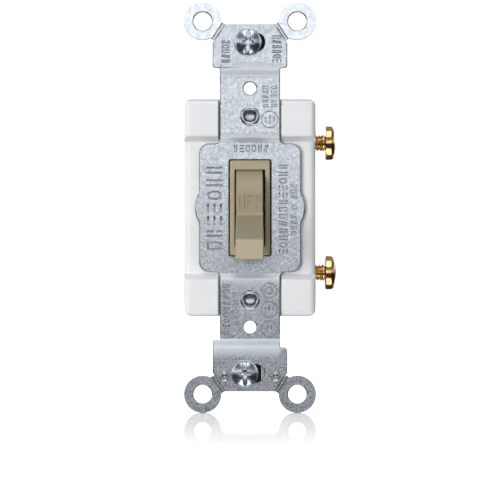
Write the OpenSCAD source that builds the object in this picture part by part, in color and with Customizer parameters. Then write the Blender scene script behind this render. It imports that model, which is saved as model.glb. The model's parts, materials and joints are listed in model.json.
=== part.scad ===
// Toggle wall switch: single pole, side wired, on a stamped steel mounting strap.
// Millimetres. X is right, Z is up and the lever points towards -Y. The origin is the middle of the
// strap, on the back face of the plaster ears, which is the plane that lies against the wall.

/* [Strap] */
// Sheet thickness of the strap
strap_t = 1.2; // [1.0:0.1:1.3]
// Distance between the two mounting screws
mount_pitch = 83.34; // [83.2:0.02:83.5]
// Distance between the two cover-plate screws
cover_pitch = 60.33; // [60.2:0.01:60.4]
// Outer radius of a plaster ear
ear_r = 4.67; // [4.5:0.05:4.8]
// Radius of the hole in a plaster ear
ear_hole_r = 2.33; // [2.0:0.05:2.5]

/* [Housing] */
// Width of the body
body_w = 33.2; // [33.0:0.1:34.2]
// Height of the body
body_h = 54.9; // [54.6:0.1:57.0]
// Depth of the body's rear face behind the wall plane
body_back = 27; // [26.6:0.1:30]

/* [Lever] */
// Angle of the lever from level, in each of its two positions
throw_deg = 27; // [24:0.5:27.5]
// Length of the lever from its pivot to its tip
lever_len = 23; // [20:0.5:26]
// Width of the lever at its drum
lever_w = 6.7; // [6.2:0.1:6.8]
// Radius of the drum that fills the collar's slot
drum_r = 11.2; // [11.0:0.05:11.3]

/* [Terminals] */
// Radius of a terminal screw's head
terminal_head_r = 4.3; // [3.9:0.1:4.5]
// Gap between the body's side and a backed-out terminal screw's head
backed_out = 2.75; // [1.5:0.05:3.0]

/* [Hidden] */
$fn = 48;

steel = [0.70, 0.73, 0.77];
white = [0.92, 0.92, 0.94];
ivory = [0.74, 0.67, 0.50];
brass = [0.83, 0.63, 0.26];
bronze = [0.76, 0.48, 0.28];
silver = [0.88, 0.88, 0.86];
fibre = [0.42, 0.18, 0.12];

// --- shared allowances: clearance of fitted pieces, overrun of a cut, reach past every piece ---
gap = 0.05;
past = 1;
far = 60;

// --- strap levels: front faces of its three planes, and the heights where it steps ---
end_front = -strap_t;
mid_front = 1.0;
centre_front = 2.2;
centre_back = centre_front + strap_t;
end_step = [33.0, 35.2];
centre_step = [16.5, 18.0];
step_facets = 10;
back_lag = 0.5;

// --- strap outline ---
centre_half = [12.9, 16.3];
centre_corner = 2.6;
bulge_r = 7.4;
bulge_reach = 13.95;
mid_half_w = 7.6;
neck_fillet = 1.2;
end_half_w = 9.4;
end_edge = 46.2;
end_edge_half = 6.24;
end_shoulder = [8.9, 42.1];
end_side_top = 41.6;
end_low_corner = 0.9;
left_tab_low = 33.4;
left_tab_w = 3;
ear = [11.92, 46.95];
ear_turn = 213.3;
ear_neck_w = 4.87;
score_at = [4.4, 5.15];
score_w = 0.3;
score_depth = 0.3;
slot_r = 2.2;
slot_half = 3.7;
opening_corner = 0.3;
cover_hole_r = 1.6;
opening_half = [5.25, 12.1];

// --- rivets ---
rivet_z = 23.2;
rivet_r = 1.7;
rivet_hole_r = 1.75;
tube_r = 1.2;
roll_at = 1.95;
roll_r = 0.55;
tube_flare = 0.7;
tube_depth = 2.2;
rivet_head_r = 2.8;
rivet_head_t = 0.8;
rivet_sunk = 0.9;
clip_rivet = [6.45, -42.4];
clip_rivet_r = 0.8;
clip_rivet_hole_r = 0.84;
clip_head_r = 1.25;
clip_head_t = 0.35;
clip_set_r = 1.15;
clip_dimple_r = 0.5;
clip_dimple_depth = 0.55;

// --- housing ---
body_front = 0.9;
split = 12;
body_corner = 1.8;
edge_r = 1.6;
rear_edge_r = 1.2;
channel_half_w = 7.95;
channel_floor = mid_front + strap_t + gap;
channel_step = 18.8;
band_floor = centre_back + gap;
band_half = 16.7;
slope_half = 18.1;
slope_rise = 0.7;
rear_floor = body_back - 2.5;
cavity_half_z = 20;
cavity_front = 6.6;
rear_panel_half = [10.2, 10.6];
rear_panel_depth = 0.4;
rear_panel_corner = 1.5;
gauge_half = [0.8, 7.5];
gauge_corner = 0.6;
gauge_depth = 0.9;
gauge_from_edge = 3;

// --- lever and collar; the pivot lies along X ---
pivot_y = 3.4;
drum_gap = 0.35;
collar_front = -3.2;
collar_half = [5.0, 11.87];
collar_corner = 0.5;
slot_half_w = 3.78;
flange_half = [6.8, 14.2];
flange_t = 1.5;
flange_corner = 0.5;
flange_gap = 0.15;
cheek_back = 8;
cheek_wall = 1.6;
trunnion_r = 1.6;
trunnion_end = collar_half[0] - 0.15;
trunnion_seat = trunnion_end + 0.1;
lever_shift = -0.1;
lever_tip_w = lever_w + 0.25;
handle_root_half = 3.65;
handle_tip_half = 3.0;
tip_corner = 0.9;
root_fillet = 1.3;
drum_back = 1.5;
cam_reach = 9.2;
cam_r = 1.0;
cam_t = 0.75;
cam_arm_half = 1.3;
cam_past = 0.2;
spring_reach = 5.0;
post_past = 1.2;
seat_wall = 1.3;

// --- terminals, on the right-hand side ---
terminal_z = 16.6;
terminal_y = 10.2;
plate_face = 12.4;
plate_t = 1.2;
recess_half_z = 5.3;
recess_front = 5.6;
terminal_thread_r = 2.08;
terminal_hole_r = 2.14;
terminal_head_t = 2.7;
terminal_rim = 1.7;
terminal_under = body_w / 2 + backed_out;
terminal_shank = 8.6;
terminal_slot_w = 1.3;
terminal_tip = 0.6;
plate_y = [5.9, 15.5];
plate_half_z = 4.4;
cavity_half_w = plate_face - plate_t;

// --- contacts and arm ---
arm_x = [4.9, 9.3];
arm_mid_x = (arm_x[0] + arm_x[1]) / 2;
cam_end = arm_x[1] - 1.2;
arm_t = 0.8;
arm_pivot = [14.1, -13.2];
arm_bead_r = 0.8;
arm_open_deg = throw_deg / 5;
contact_z = 8.3;
contact_r = 1.9;
contact_t = 0.9;
contact_gap = 0.95;
arm_face = 10.95;
strip_y = [7.2, 8.3];

// --- springs ---
toggle_wire = 0.5;
toggle_coil_r = 1.8;
toggle_post_r = 1.35;
toggle_turns = 7;
toggle_seat = 21;
contact_wire = 0.4;
contact_coil_r = 1.5;
contact_post_r = 1.1;
contact_turns = 6;
contact_spring_z = -4.5;
toggle_clear = 1.1;
contact_clear = 0.3;

// --- mounting screws: number 6 thread, off centre in their slots as they float ---
mount_thread_r = 1.75;
mount_slot_w = 1.0;
mount_tip = 0.8;
mount_taper = 0.7;
mount_neck_r = 1.45;
mount_head_r = 3.45;
mount_head_t = 1.9;
mount_rim = 0.85;
mount_under = end_front - 0.1;
mount_len = 19;
mount_neck_end = 1.9;
mount_top_x = -0.5;
mount_bottom_x = -1.3;
retainer_half = [4.2, 3.4];
retainer_t = 0.8;
retainer_hole_r = 1.51;
retainer_corner = 1.2;
retainer_top_front = 0.1;

// --- grounding clip, on the back of the lower end ---
clip_front = 0.02;
clip_t = 0.4;
clip_half_w = clip_rivet[0] + 1.6;
clip_span = [clip_rivet[1] - 1.4, clip_rivet[1] + 3.4];
clip_lip_back = 3.2;
clip_lip_inset = 1;
clip_open_end = 2.95;
retainer_bottom_front = clip_front + clip_t + 0.4;

// ---------- placing helpers ----------

// A 2D drawing in (Y, Z), carried along X from x0 to x1
module across(x0, x1) {
    translate([x0, 0, 0]) rotate([90, 0, 90]) linear_extrude(x1 - x0) children();
}

// A 2D drawing in (X, Z), carried along Y from y0 to y1
module deep(y0, y1) {
    translate([0, y1, 0]) rotate([90, 0, 0]) linear_extrude(y1 - y0) children();
}

// A 2D drawing in (X, Y), carried up from z0 to z1
module upright(z0, z1) {
    translate([0, 0, z0]) linear_extrude(z1 - z0) children();
}

// A rod along X or along Y
module rod_x(r, x0, x1) {
    translate([x0, 0, 0]) rotate([0, 90, 0]) cylinder(r = r, h = x1 - x0);
}
module rod_y(r, y0, y1) {
    translate([0, y0, 0]) rotate([-90, 0, 0]) cylinder(r = r, h = y1 - y0);
}

// A box between two corners
module block(low, high) {
    translate(low) cube(high - low);
}

// A rectangle of half width and half height, with round corners
module round_rect(half, r) {
    square([2 * half[0], 2 * (half[1] - r)], center = true);
    square([2 * (half[0] - r), 2 * half[1]], center = true);
    for (sx = [-1, 1], sz = [-1, 1])
        translate([sx * (half[0] - r), sz * (half[1] - r)]) circle(r);
}

// A level slot with round ends, drawn in (X, Z)
module slot_shape(r, half) {
    square([2 * (half - r), 2 * r], center = true);
    for (s = [-1, 1]) translate([s * (half - r), 0]) circle(r);
}

// The material that rounds an inner corner of radius r, whose point is the origin, opening to +X +Y
module inner_fillet(r) {
    difference() {
        square(r);
        translate([r, r]) circle(r);
    }
}

// Puts children at the top and bottom, or left and right, of the switch
module both_ends(z) { for (s = [-1, 1]) translate([0, 0, s * z]) children(); }
module both_sides(x) { for (s = [-1, 1]) translate([s * x, 0, 0]) children(); }
module both_flat(x) { for (s = [-1, 1]) translate([s * x, 0]) children(); }

// ---------- strap ----------

function ease(t) = t <= 0 ? 0 : t >= 1 ? 1 : t * t * (3 - 2 * t);
function step_share(a, step) = ease((a - step[0]) / (step[1] - step[0]));
function steps_of(step) = [for (i = [0:step_facets])
    step[0] + (step[1] - step[0]) * i / step_facets];

// Depth of the strap's front face at distance a above or below the middle
function front_at(a) = centre_front
    - (centre_front - mid_front) * step_share(a, centre_step)
    - (mid_front - end_front) * step_share(a, end_step);

// The upper half of the front or back face, from the middle out, as points in (Y, Z).
// The back follows the front at one thickness, and lags it where it steps.
function half_face(depth, lag) = [for (a = concat(steps_of(centre_step), steps_of(end_step), [far]))
    [front_at(a) + depth, a + lag]];
function flipped(points) = [for (i = [len(points) - 1:-1:0]) points[i]];
function mirrored(points) = [for (p = points) [p[0], -p[1]]];

// The strap seen from its side, in (Y, Z)
module strap_side() {
    front = half_face(0, 0);
    back = half_face(strap_t, back_lag);
    polygon(concat(flipped(mirrored(front)), front, flipped(back), mirrored(back)));
}

// One end of the strap with its two ears, drawn at the top
module strap_end() {
    c = end_low_corner;
    low = end_step[1];
    right = [[end_half_w - c, low], [end_half_w, low + c], [end_half_w, end_side_top], end_shoulder,
             [end_edge_half, end_edge]];
    left = [for (i = [len(right) - 1:-1:0]) [-right[i][0], right[i][1]]];
    polygon(concat(right, left));
    both_flat(end_half_w - c) translate([0, low + c]) circle(c);
    for (s = [0, 1]) mirror([s, 0]) translate(ear) {
        circle(ear_r);
        rotate(ear_turn) translate([0, -ear_neck_w / 2]) square([score_at[1] + 0.6, ear_neck_w]);
    }
}

// Everything that the strap's blank covers, before its holes
module strap_blank() {
    round_rect(centre_half, centre_corner);
    both_flat(bulge_reach - bulge_r) circle(bulge_r);
    square([2 * mid_half_w, 2 * (end_step[1] + past)], center = true);
    for (sx = [0, 1], sz = [0, 1]) mirror([sx, 0]) mirror([0, sz]) {
        translate([mid_half_w, centre_half[1]]) inner_fillet(neck_fillet);
        if (sz == 0) strap_end();
    }
    mirror([0, 1]) strap_end();
    translate([-end_half_w, -end_step[1] - past])
        square([left_tab_w, end_step[1] + past - left_tab_low]);
}

module strap_holes() {
    round_rect(opening_half, opening_corner);
    for (s = [-1, 1]) {
        translate([0, s * mount_pitch / 2]) slot_shape(slot_r, slot_half);
        translate([0, s * cover_pitch / 2]) circle(cover_hole_r);
        translate([0, s * rivet_z]) circle(rivet_hole_r);
        for (x = [-1, 1]) translate([x * ear[0], s * ear[1]]) circle(ear_hole_r);
    }
    both_flat(clip_rivet[0]) translate([0, clip_rivet[1]]) circle(clip_rivet_hole_r);
}

// Break-off score lines: two on the front of each ear's neck and one on its back
module score_lines() {
    for (sx = [0, 1], sz = [0, 1]) mirror([sx, 0, 0]) mirror([0, 0, sz]) {
        for (at = score_at) score_line(at, end_front - past, end_front + score_depth);
        score_line(score_at[1], -score_depth, past);
    }
}
module score_line(at, y0, y1) {
    deep(y0, y1) translate(ear) rotate(ear_turn)
        translate([at - score_w / 2, -ear_neck_w]) square([score_w, 2 * ear_neck_w]);
}

module mounting_strap() {
    color(steel) difference() {
        intersection() {
            across(-far, far) strap_side();
            deep(-far, far) difference() {
                strap_blank();
                strap_holes();
            }
        }
        score_lines();
    }
}

// ---------- housing ----------

module body_outline() { round_rect([body_w / 2, body_h / 2], body_corner); }

// A rectangle from depth y0 to depth y1, whose two corners at y0 are round, in (X, Y)
module front_round(half, y0, y1, r) {
    translate([-half, y0 + r]) square([2 * half, y1 - y0 - r]);
    translate([r - half, y0]) square([2 * (half - r), y1 - y0]);
    both_flat(half - r) translate([0, y0 + r]) circle(r);
}

// The body's front half from its side, in (Y, Z): round ends and a sunk band between slopes
module front_side_view() {
    difference() {
        rotate(-90) mirror([0, 1]) rotate(180) front_round(body_h / 2, body_front, split, edge_r);
        polygon([[body_front - past, slope_half + slope_rise], [band_floor, band_half],
                 [band_floor, -band_half], [body_front - past, -slope_half - slope_rise]]);
    }
}

// Pockets in both sides, open to the side and to the rear, where wires reach the screws
module terminal_recesses() {
    for (s = [0, 1], z = [-terminal_z, terminal_z]) mirror([s, 0, 0])
        block([plate_face, recess_front, z - recess_half_z],
              [body_w, body_back + past, z + recess_half_z]);
}

// The windows that the two terminal plates fill
module plate_seats() {
    for (z = [-terminal_z, terminal_z])
        block([cavity_half_w - past, plate_y[0] - gap, z - plate_half_z - gap],
              [plate_face + gap, plate_y[1] + gap, z + plate_half_z + gap]);
}

module rivet_holes() {
    both_ends(rivet_z) rod_y(rivet_hole_r, -past, body_back + past);
}

module cavity(y0, y1) {
    block([-cavity_half_w, y0, -cavity_half_z], [cavity_half_w, y1, cavity_half_z]);
}

module front_housing() {
    opening_w = collar_half[0] + 0.5;
    opening_h = collar_half[1] + 0.4;
    color(white) difference() {
        intersection() {
            deep(body_front, split) body_outline();
            across(-far, far) front_side_view();
            union() {
                upright(-far, far) front_round(body_w / 2, band_floor, split, edge_r);
                for (s = [0, 1]) mirror([0, 0, s])
                    upright(band_half, far) front_round(body_w / 2, body_front, split, edge_r);
            }
        }
        block([-channel_half_w, -past, -far], [channel_half_w, channel_floor, far]);
        block([-channel_half_w, -past, -channel_step], [channel_half_w, band_floor, channel_step]);
        deep(0, band_floor + flange_t + gap)
            round_rect(flange_half + [flange_gap, flange_gap], flange_corner);
        block([-opening_w, 0, -opening_h], [opening_w, split, opening_h]);
        cavity(cavity_front, split + past);
        terminal_recesses();
        plate_seats();
        rivet_holes();
    }
}

// A post and shoulder on the rear wall that centres a spring
module spring_seat(x, z, post_r, seat_y) {
    translate([x, 0, z]) {
        rod_y(post_r, seat_y - post_past, rear_floor + past);
        rod_y(post_r + seat_wall, seat_y, rear_floor + past);
    }
}

module rear_housing() {
    color(white) {
        difference() {
            intersection() {
                deep(split, body_back) body_outline();
                upright(-far, far) mirror([0, 1])
                    front_round(body_w / 2, -body_back, -split, rear_edge_r);
                across(-far, far) rotate(90)
                    front_round(body_h / 2, -body_back, -split, rear_edge_r);
            }
            cavity(split - past, rear_floor);
            terminal_recesses();
            plate_seats();
            rivet_holes();
            both_ends(rivet_z) rod_y(rivet_head_r + 0.3, body_back - rivet_sunk, body_back + past);
            deep(body_back - rear_panel_depth, body_back + past)
                round_rect(rear_panel_half, rear_panel_corner);
            deep(body_back - gauge_depth, body_back + past)
                translate([rear_panel_half[0] - gauge_from_edge, 0])
                    round_rect(gauge_half, gauge_corner);
        }
        spring_seat(0, 0, toggle_post_r, toggle_seat);
        spring_seat(arm_mid_x, contact_spring_z, contact_post_r, rear_floor);
    }
}

// ---------- collar and lever ----------

module lever_collar() {
    color(ivory) difference() {
        union() {
            deep(collar_front, band_floor + 2 * gap) round_rect(collar_half, collar_corner);
            deep(band_floor + gap, band_floor + flange_t) round_rect(flange_half, flange_corner);
            deep(centre_back, cheek_back)
                square([2 * collar_half[0], 2 * (trunnion_r + cheek_wall)], center = true);
        }
        translate([0, pivot_y, 0]) rod_x(drum_r + drum_gap, -slot_half_w, slot_half_w);
        block([-slot_half_w, pivot_y, -drum_r - drum_gap],
              [slot_half_w, cheek_back + past, drum_r + drum_gap]);
        translate([0, pivot_y, 0]) rod_x(trunnion_r + gap, -trunnion_seat, trunnion_seat);
        block([-trunnion_seat, pivot_y, -trunnion_r - gap],
              [trunnion_seat, cheek_back + past, trunnion_r + gap]);
    }
}

// Lever-local drawing: U runs from the pivot towards the tip and V up from the axis.
// This puts a (U, V) drawing in (Y, Z) at rest, with the lever down.
module lever_plane(x0, x1) {
    translate([0, pivot_y, 0]) rotate([throw_deg, 0, 0])
        across(x0, x1) mirror([1, 0]) children();
}
module lever_place() {
    translate([0, pivot_y, 0]) rotate([throw_deg, 0, 0]) children();
}

// U of the handle's root, where its face meets the drum
handle_root_u = sqrt(drum_r * drum_r - handle_root_half * handle_root_half);

// The round that fills the corner between handle face and drum, touching both
module root_round() {
    r = root_fillet;
    v = handle_root_half + r;
    u = sqrt((drum_r + r) * (drum_r + r) - v * v);
    difference() {
        polygon([[handle_root_u - 1, handle_root_half - 0.6], [u, handle_root_half - 0.6], [u, v],
                 [u * drum_r / (drum_r + r), v * drum_r / (drum_r + r)]]);
        translate([u, v]) circle(r);
    }
}

module lever_profile() {
    c = tip_corner;
    intersection() {
        circle(drum_r, $fn = 96);
        translate([-drum_back, -drum_r - 1]) square([2 * drum_r, 2 * drum_r + 2]);
    }
    upper = [[lever_len, handle_tip_half - c], [lever_len - c, handle_tip_half],
             [handle_root_u, handle_root_half], [0, handle_root_half]];
    polygon(concat(upper, flipped([for (p = upper) [p[0], -p[1]]])));
    for (s = [-1, 1]) translate([lever_len - c, s * (handle_tip_half - c)]) circle(c);
    for (s = [0, 1]) mirror([0, s]) root_round();
}

// The lever from its front, in (X, U): straight at the drum and flaring to the tip
module lever_plan() {
    w = lever_w / 2;
    tip = lever_tip_w / 2;
    polygon([[-w, -drum_back], [w, -drum_back], [w, drum_r], [tip, lever_len],
             [-tip, lever_len], [-w, drum_r]]);
}

module toggle_lever() {
    side = lever_w / 2 + lever_shift;
    color(ivory) {
        intersection() {
            lever_plane(-lever_w, lever_w) lever_profile();
            lever_place() translate([lever_shift, 0, -drum_r - 1])
                linear_extrude(2 * drum_r + 2) mirror([0, 1]) lever_plan();
        }
        lever_place() {
            rod_x(trunnion_r, -trunnion_end, trunnion_end);
            // post and shoulder for the spring
            rod_y(toggle_post_r, 0.5, spring_reach + post_past);
            rod_y(toggle_coil_r + 0.5, 0.5, spring_reach);
            // cam arm, and the nose that works the contact arm
            block([side - cam_t, 0.5, -cam_arm_half], [side, cam_reach + cam_past, cam_arm_half]);
            translate([0, cam_reach, 0]) rod_x(cam_r, side - cam_t, cam_end);
        }
    }
}

// ---------- springs ----------

// A wire of radius w wound on radius r about Y, from y0 to y1; the shift leads its far end off in Z
module coil(r, w, y0, y1, turns, drift = 0) {
    sides = 6;
    steps = 14 * turns;
    rings = [for (i = [0:steps]) let (t = i / steps, a = 360 * turns * t)
        [for (k = [0:sides - 1]) let (b = 360 * k / sides, q = r + w * cos(b))
            [q * cos(a), y0 + (y1 - y0) * t + w * sin(b), q * sin(a) + drift * t]]];
    points = [for (ring = rings) for (p = ring) p];
    last = steps * sides;
    polyhedron(points, concat(
        [[for (k = [sides - 1:-1:0]) k]],
        [for (i = [0:steps - 1], k = [0:sides - 1])
            let (a = i * sides + k, b = i * sides + (k + 1) % sides)
            [a, b, b + sides, a + sides]],
        [[for (k = [0:sides - 1]) last + k]]));
}

spring_top = [pivot_y + spring_reach * cos(throw_deg), spring_reach * sin(throw_deg)];

module toggle_spring() {
    g = toggle_wire / 2 + gap;
    color(silver) translate([0, 0, spring_top[1]])
        coil(toggle_coil_r, toggle_wire / 2, spring_top[0] + toggle_clear, toggle_seat - g,
             toggle_turns, -spring_top[1]);
}

// Back of the contact arm at rest, where its spring pushes
arm_spring_y = arm_pivot[0] - arm_bead_r + arm_t
    + (contact_spring_z - arm_pivot[1]) * sin(arm_open_deg) + contact_clear;

module contact_spring() {
    g = contact_wire / 2 + gap;
    color(silver) translate([arm_mid_x, 0, contact_spring_z])
        coil(contact_coil_r, contact_wire / 2, arm_spring_y + g, rear_floor - g, contact_turns);
}

// ---------- contacts ----------

// Turns a closed contact arm to its open place, which is its place at rest
module arm_place() {
    translate([0, arm_pivot[0], arm_pivot[1]]) rotate([-arm_open_deg, 0, 0])
        translate([0, -arm_pivot[0], -arm_pivot[1]]) children();
}

// The arm seen from its side when closed, in (Y, Z): a foot, a ramp for the cam and a contact end
module arm_profile() {
    foot = arm_pivot[0] - arm_bead_r;
    front = [[foot, arm_pivot[1]], [foot, 0.1], [foot - 1.0, 2.4], [arm_face, 4.75],
             [arm_face, contact_z + 2]];
    lag = [0, 0.2, 0.35, 0.3, 0];
    polygon(concat(front, [for (i = [len(front) - 1:-1:0]) front[i] + [arm_t, lag[i]]]));
}

module contact_arm() {
    color(bronze) arm_place() {
        across(arm_x[0], arm_x[1]) arm_profile();
        translate([0, arm_pivot[0], arm_pivot[1]]) rod_x(arm_bead_r, arm_x[0], arm_x[1]);
    }
}

module moving_contact() {
    color(silver) arm_place()
        translate([arm_mid_x, 0, contact_z]) rod_y(contact_r, arm_face - contact_t, arm_face);
}

module fixed_contact() {
    color(silver)
        translate([arm_mid_x, 0, contact_z]) rod_y(contact_r, strip_y[1], arm_face - contact_gap);
}

module terminal_plate(z) {
    block([plate_face - plate_t, plate_y[0], z - plate_half_z],
          [plate_face, plate_y[1], z + plate_half_z]);
}
module terminal_hole(z) {
    translate([0, terminal_y, z]) rod_x(terminal_hole_r, arm_x[0], plate_face + past);
}

module line_terminal() {
    strip_top = terminal_z - terminal_thread_r - 0.6;
    color(brass) difference() {
        union() {
            terminal_plate(terminal_z);
            block([arm_x[0] + 0.4, strip_y[0], contact_z - 2.6],
                  [cavity_half_w - gap, strip_y[1], strip_top]);
            block([cavity_half_w - past / 2, strip_y[0], terminal_z - plate_half_z],
                  [plate_face, strip_y[1], strip_top]);
        }
        terminal_hole(terminal_z);
    }
}

module load_terminal() {
    top = arm_pivot[1];
    color(brass) difference() {
        union() {
            terminal_plate(-terminal_z);
            block([arm_x[0] - 0.3, arm_pivot[0] - 1.6, top - 2.4],
                  [plate_face, plate_y[1], top]);
        }
        translate([0, arm_pivot[0], top]) rod_x(arm_bead_r + gap, arm_x[0] - past, arm_x[1] + 0.3);
        terminal_hole(-terminal_z);
    }
}

// ---------- screws ----------

// A combination recess, slot and cross, cut from the top of a head that points along -Y
module recess(r, slot_w, depth) {
    arm = 0.55 * r;
    block([-slot_w / 2, -far, -r - past], [slot_w / 2, 0.6 * depth, r + past]);
    for (a = [0, 90]) rotate([0, a, 0])
        block([-slot_w / 2, -far, -arm], [slot_w / 2, depth, arm]);
}

// A domed head of radius r, thickness t and rim height rim, on the plane Y = 0, pointing along -Y
module head(r, t, slot_w, rim) {
    dome_r = (r * r + (t - rim) * (t - rim)) / (2 * (t - rim));
    difference() {
        intersection() {
            rod_y(r, -t, 0);
            translate([0, dome_r - t, 0]) sphere(dome_r, $fn = 96);
        }
        translate([0, -t, 0]) recess(r, slot_w, 0.62 * t);
    }
}

module terminal_screw(z) {
    tip = terminal_shank - terminal_tip;
    color(brass) translate([terminal_under, terminal_y, z]) rotate([0, 0, 90]) {
        head(terminal_head_r, terminal_head_t, terminal_slot_w, terminal_rim);
        rod_y(terminal_thread_r, 0, tip);
        translate([0, tip, 0]) rotate([-90, 0, 0])
            cylinder(r1 = terminal_thread_r, r2 = terminal_thread_r - terminal_tip, h = terminal_tip);
    }
}

module mounting_screw(x, z) {
    tip = mount_under + mount_len - mount_tip;
    color(steel) translate([x, 0, z]) {
        translate([0, mount_under, 0]) head(mount_head_r, mount_head_t, mount_slot_w, mount_rim);
        rod_y(mount_neck_r, mount_under, mount_neck_end);
        rod_y(mount_thread_r, mount_neck_end, tip);
        translate([0, tip, 0]) rotate([-90, 0, 0])
            cylinder(r1 = mount_thread_r, r2 = mount_thread_r - mount_taper, h = mount_tip);
    }
}

module screw_retainer(x, z, y0) {
    color(fibre) translate([x, 0, z]) difference() {
        deep(y0, y0 + retainer_t) round_rect(retainer_half, retainer_corner);
        rod_y(retainer_hole_r, y0 - past, y0 + retainer_t + past);
    }
}

// ---------- fasteners of the strap ----------

// A tubular rivet: flat head at the rear, its tube rolled over on the strap's front
module strap_rivets() {
    length = body_back - rivet_sunk - mid_front;
    flare_h = roll_r + 0.5;
    color(steel) both_ends(rivet_z) translate([0, mid_front, 0]) rotate([-90, 0, 0]) difference() {
        union() {
            cylinder(r = rivet_r, h = length + rivet_head_t / 2);
            translate([0, 0, length]) cylinder(r = rivet_head_r, h = rivet_head_t);
            rotate_extrude() intersection() {
                translate([roll_at, 0]) circle(roll_r);
                translate([0, -roll_r]) square([roll_at + roll_r, roll_r]);
            }
        }
        translate([0, 0, -past]) cylinder(r = tube_r, h = past + tube_depth);
        translate([0, 0, -roll_r]) cylinder(r1 = tube_r + tube_flare, r2 = tube_r, h = flare_h);
    }
}

// The clip's opening round the screw: round at its left end and square at its right
module clip_opening() {
    from = slot_r - slot_half;
    translate([from, 0]) circle(slot_r);
    translate([from, -slot_r]) square([clip_open_end - from, 2 * slot_r]);
}

module grounding_clip() {
    back = clip_front + clip_t;
    color(steel) difference() {
        union() {
            block([-clip_half_w, clip_front, clip_span[0]], [clip_half_w, back, clip_span[1]]);
            for (s = [0, 1]) mirror([s, 0, 0])
                block([clip_half_w - clip_t, clip_front, clip_span[0] + clip_lip_inset],
                      [clip_half_w, clip_lip_back, clip_span[1] - clip_lip_inset]);
        }
        translate([0, 0, -mount_pitch / 2])
            deep(clip_front - past, back + past) clip_opening();
        both_sides(clip_rivet[0]) translate([0, 0, clip_rivet[1]])
            rod_y(clip_rivet_hole_r, clip_front - past, back + past);
    }
}

module clip_rivets() {
    back = clip_front + clip_t;
    front = end_front - clip_head_t;
    color(steel) both_sides(clip_rivet[0]) translate([0, 0, clip_rivet[1]]) difference() {
        union() {
            rod_y(clip_rivet_r, front, back + clip_head_t);
            rod_y(clip_head_r, front, end_front);
            rod_y(clip_set_r, back, back + clip_head_t);
        }
        rod_y(clip_dimple_r, front - past, front + clip_dimple_depth);
    }
}

mounting_strap();
front_housing();
rear_housing();
lever_collar();
toggle_lever();
toggle_spring();
contact_arm();
moving_contact();
contact_spring();
fixed_contact();
line_terminal();
load_terminal();
terminal_screw(terminal_z);  // terminal_screw_top
terminal_screw(-terminal_z);  // terminal_screw_bottom
mounting_screw(mount_top_x, mount_pitch / 2);  // mounting_screw_top
mounting_screw(mount_bottom_x, -mount_pitch / 2);  // mounting_screw_bottom
screw_retainer(mount_top_x, mount_pitch / 2, retainer_top_front);  // screw_retainer_top
screw_retainer(mount_bottom_x, -mount_pitch / 2, retainer_bottom_front);  // screw_retainer_bottom
strap_rivets();
grounding_clip();
clip_rivets();
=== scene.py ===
"""Looks of a toggle wall switch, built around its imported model.

Lengths are millimetres in the model's own frame: X right, Z up, and the lever points towards -Y.
"""

import json
import math

import bmesh
import bpy
from mathutils import Matrix, Vector
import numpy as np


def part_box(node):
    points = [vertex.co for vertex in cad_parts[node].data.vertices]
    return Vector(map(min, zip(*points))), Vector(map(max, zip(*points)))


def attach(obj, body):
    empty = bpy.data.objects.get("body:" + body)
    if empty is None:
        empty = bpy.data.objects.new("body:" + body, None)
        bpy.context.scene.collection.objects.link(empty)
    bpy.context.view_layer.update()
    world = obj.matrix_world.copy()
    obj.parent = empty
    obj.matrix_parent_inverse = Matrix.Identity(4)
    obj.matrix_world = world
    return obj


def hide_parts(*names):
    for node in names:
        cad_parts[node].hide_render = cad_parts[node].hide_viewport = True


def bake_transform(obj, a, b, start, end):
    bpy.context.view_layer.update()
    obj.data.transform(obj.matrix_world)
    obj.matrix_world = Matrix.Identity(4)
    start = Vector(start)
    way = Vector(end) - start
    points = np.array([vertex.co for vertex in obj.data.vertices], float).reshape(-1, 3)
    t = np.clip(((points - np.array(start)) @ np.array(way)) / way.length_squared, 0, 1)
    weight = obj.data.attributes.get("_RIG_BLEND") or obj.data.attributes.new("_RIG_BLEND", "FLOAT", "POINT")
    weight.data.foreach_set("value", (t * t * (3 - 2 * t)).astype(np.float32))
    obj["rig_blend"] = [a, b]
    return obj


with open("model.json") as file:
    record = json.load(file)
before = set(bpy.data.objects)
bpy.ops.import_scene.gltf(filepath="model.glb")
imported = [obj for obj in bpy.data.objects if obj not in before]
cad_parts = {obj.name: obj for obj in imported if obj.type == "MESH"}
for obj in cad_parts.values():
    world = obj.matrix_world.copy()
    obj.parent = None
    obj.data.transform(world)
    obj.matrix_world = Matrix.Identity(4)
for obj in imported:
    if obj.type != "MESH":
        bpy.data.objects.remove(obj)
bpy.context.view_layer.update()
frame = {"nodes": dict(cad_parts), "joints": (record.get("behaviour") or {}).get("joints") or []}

MM = 0.001
TAU = 2 * math.pi
ROOT = "switch_body"

# Rounding of the edges, by piece
PLATE_EDGE = 0.26
BODY_EDGE = 0.34
SEAM_EDGE = 0.12
COLLAR_EDGE = 0.3
LEVER_EDGE = 0.36
SMALL_EDGE = 0.1

# Share of the rounding that some edges take
CRISP_EAR_SHARE = 0.15
LEVER_ROOT_SHARE = 0.3
LEVER_HIDDEN_SHARE = 0.2

# Screw threads: number 8 and number 6, both 32 to the inch
PITCH = 25.4 / 32
THREAD_DEPTH = 0.43
ROWS_PER_PITCH = 8


# ---------- sizes read from the frame ----------

def box_mm(node):
    """Lowest and highest corner of a CAD node, in millimetres."""
    low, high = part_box(node)
    return low / MM, high / MM


def joint(name):
    """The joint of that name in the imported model."""
    return next(j for j in frame["joints"] if j["name"] == name)


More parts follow.
